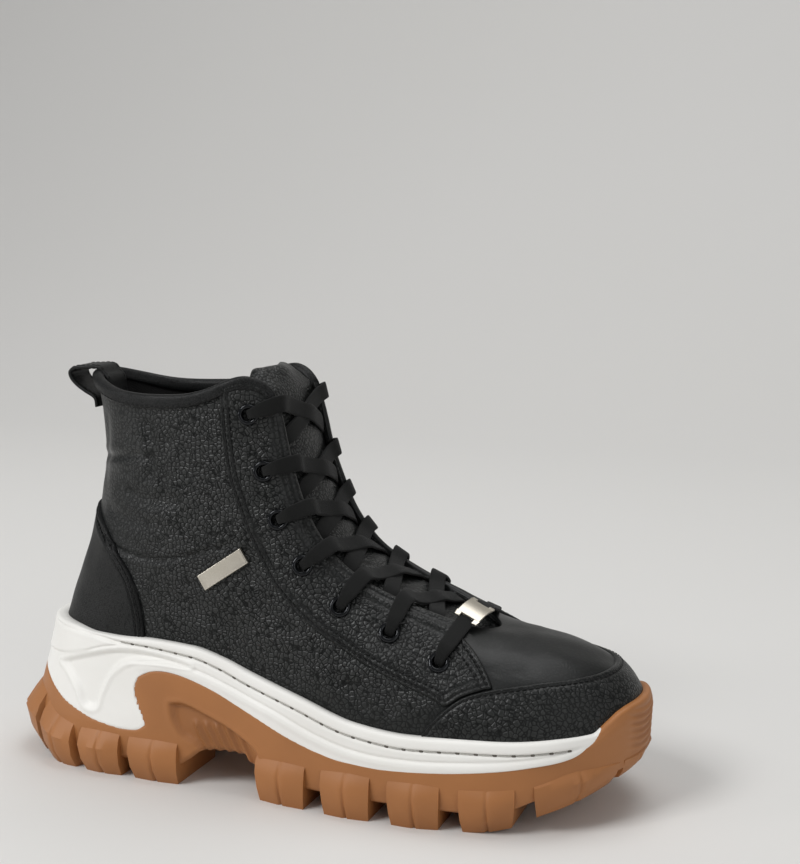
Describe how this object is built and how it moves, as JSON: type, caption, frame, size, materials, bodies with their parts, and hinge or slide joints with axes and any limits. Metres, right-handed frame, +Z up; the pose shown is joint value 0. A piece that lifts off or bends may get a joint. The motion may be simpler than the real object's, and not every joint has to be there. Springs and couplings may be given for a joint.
{
  "type": "chunky lace-up ankle boot",
  "caption": "Lace-up ankle boot with a padded-look tongue, metal eyelets and a thick lugged platform sole with a tall heel and an open arch.",
  "frame": {"origin": "middle of the boot's length and width, on the floor under the lugs", "axes": "+X to the toe, +Y to the inner side of the foot, +Z up; right boot"},
  "size_m": [0.296, 0.1074, 0.1835],
  "materials": {
    "leather_grained": "pebbled, satin",
    "leather_smooth": "smooth, satin",
    "lining": "matt",
    "midsole": "moulded, matt",
    "gum_rubber": "moulded, matt",
    "eyelet": "gloss black",
    "metal": "satin",
    "lace": "flat woven"
  },
  "bodies": {
    "root": {"outsole": "gum_rubber", "midsole": "midsole", "upper": "leather_grained", "toe_guard": "leather_grained", "heel_counter": "leather_smooth", "collar_binding": "leather_smooth", "tongue": "leather_grained", "insole": "lining", "pull_loop": "leather_smooth", "side_plate": "metal", "lace_bar": "lace", "lace_tag": "metal", "eyestay_outer": "leather_grained", "eyestay_inner": "leather_grained", "eyelet_outer_1": "eyelet", "eyelet_inner_1": "eyelet", "eyelet_outer_2": "eyelet", "eyelet_inner_2": "eyelet", "eyelet_outer_3": "eyelet", "eyelet_inner_3": "eyelet", "eyelet_outer_4": "eyelet", "eyelet_inner_4": "eyelet", "eyelet_outer_5": "eyelet", "eyelet_inner_5": "eyelet", "eyelet_outer_6": "eyelet", "eyelet_inner_6": "eyelet", "eyelet_outer_7": "eyelet", "eyelet_inner_7": "eyelet", "lace_crossing_1": "lace", "lace_crossing_2": "lace", "lace_crossing_3": "lace", "lace_crossing_4": "lace", "lace_crossing_5": "lace", "lace_crossing_6": "lace"}
  },
  "joints": []
}
